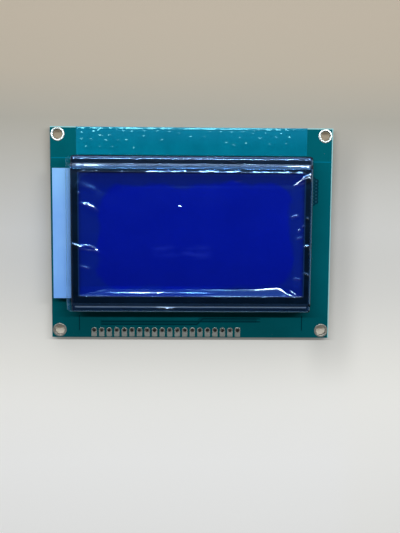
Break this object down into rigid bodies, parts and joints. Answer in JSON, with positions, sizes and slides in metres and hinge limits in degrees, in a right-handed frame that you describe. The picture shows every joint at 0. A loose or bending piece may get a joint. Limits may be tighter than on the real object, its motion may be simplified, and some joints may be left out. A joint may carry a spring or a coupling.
{
  "type": "graphic lcd module",
  "caption": "Graphic LCD module: a blue display in a black stepped metal bezel under clear film, on a circuit board with corner holes, a header pad row and an edge-lit backlight.",
  "frame": {"origin": "centre of the board's outline, on the surface that the module lies on", "axes": "+X to the display's right, +Y to the display's top, +Z out of the display"},
  "size_m": [0.093, 0.07, 0.0123],
  "materials": {
    "solder_mask": "teal solder mask on glass epoxy, semi-gloss",
    "tinned_copper": "hot-tinned copper, uneven",
    "masked_copper": "teal solder mask over copper, semi-gloss",
    "bezel_black": "black coated sheet steel, semi-gloss",
    "clear_film": "thin clear protective film, glossy and slightly wrinkled",
    "screen_blue": "deep blue polarizer, glossy",
    "glass": "clear display glass",
    "white_film": "matt white film",
    "acrylic": "clear moulded acrylic",
    "wrap_blue": "light blue backlight film, satin",
    "lamp_board": "white circuit board",
    "lamp": "yellow lamp resin",
    "solder": "bright solder",
    "contact_rubber": "layered silicone contact strip",
    "black_resin": "black potting resin, satin",
    "resistor": "black glazed chip",
    "capacitor": "tan ceramic chip"
  },
  "bodies": {
    "root": {"pcb": "solder_mask", "mounting_pads": "tinned_copper", "pin_pads": "tinned_copper", "copper_pour": "masked_copper", "front_traces": "masked_copper", "via_rings": "masked_copper", "bezel": "bezel_black", "protective_film": "clear_film", "front_polarizer": "screen_blue", "front_glass": "glass", "rear_glass": "glass", "rear_polarizer": "screen_blue", "diffuser_film": "white_film", "light_guide": "acrylic", "reflector_film": "white_film", "backlight_wrap": "wrap_blue", "led_board": "lamp_board", "leds": "lamp", "backlight_leads": "tinned_copper", "lead_solder": "solder", "zebra_strip_top": "contact_rubber", "zebra_strip_bottom": "contact_rubber", "controller_glob": "black_resin", "driver_glob_left": "black_resin", "driver_glob_right": "black_resin", "chip_resistors": "resistor", "chip_capacitors": "capacitor", "chip_solder": "solder"}
  },
  "joints": []
}
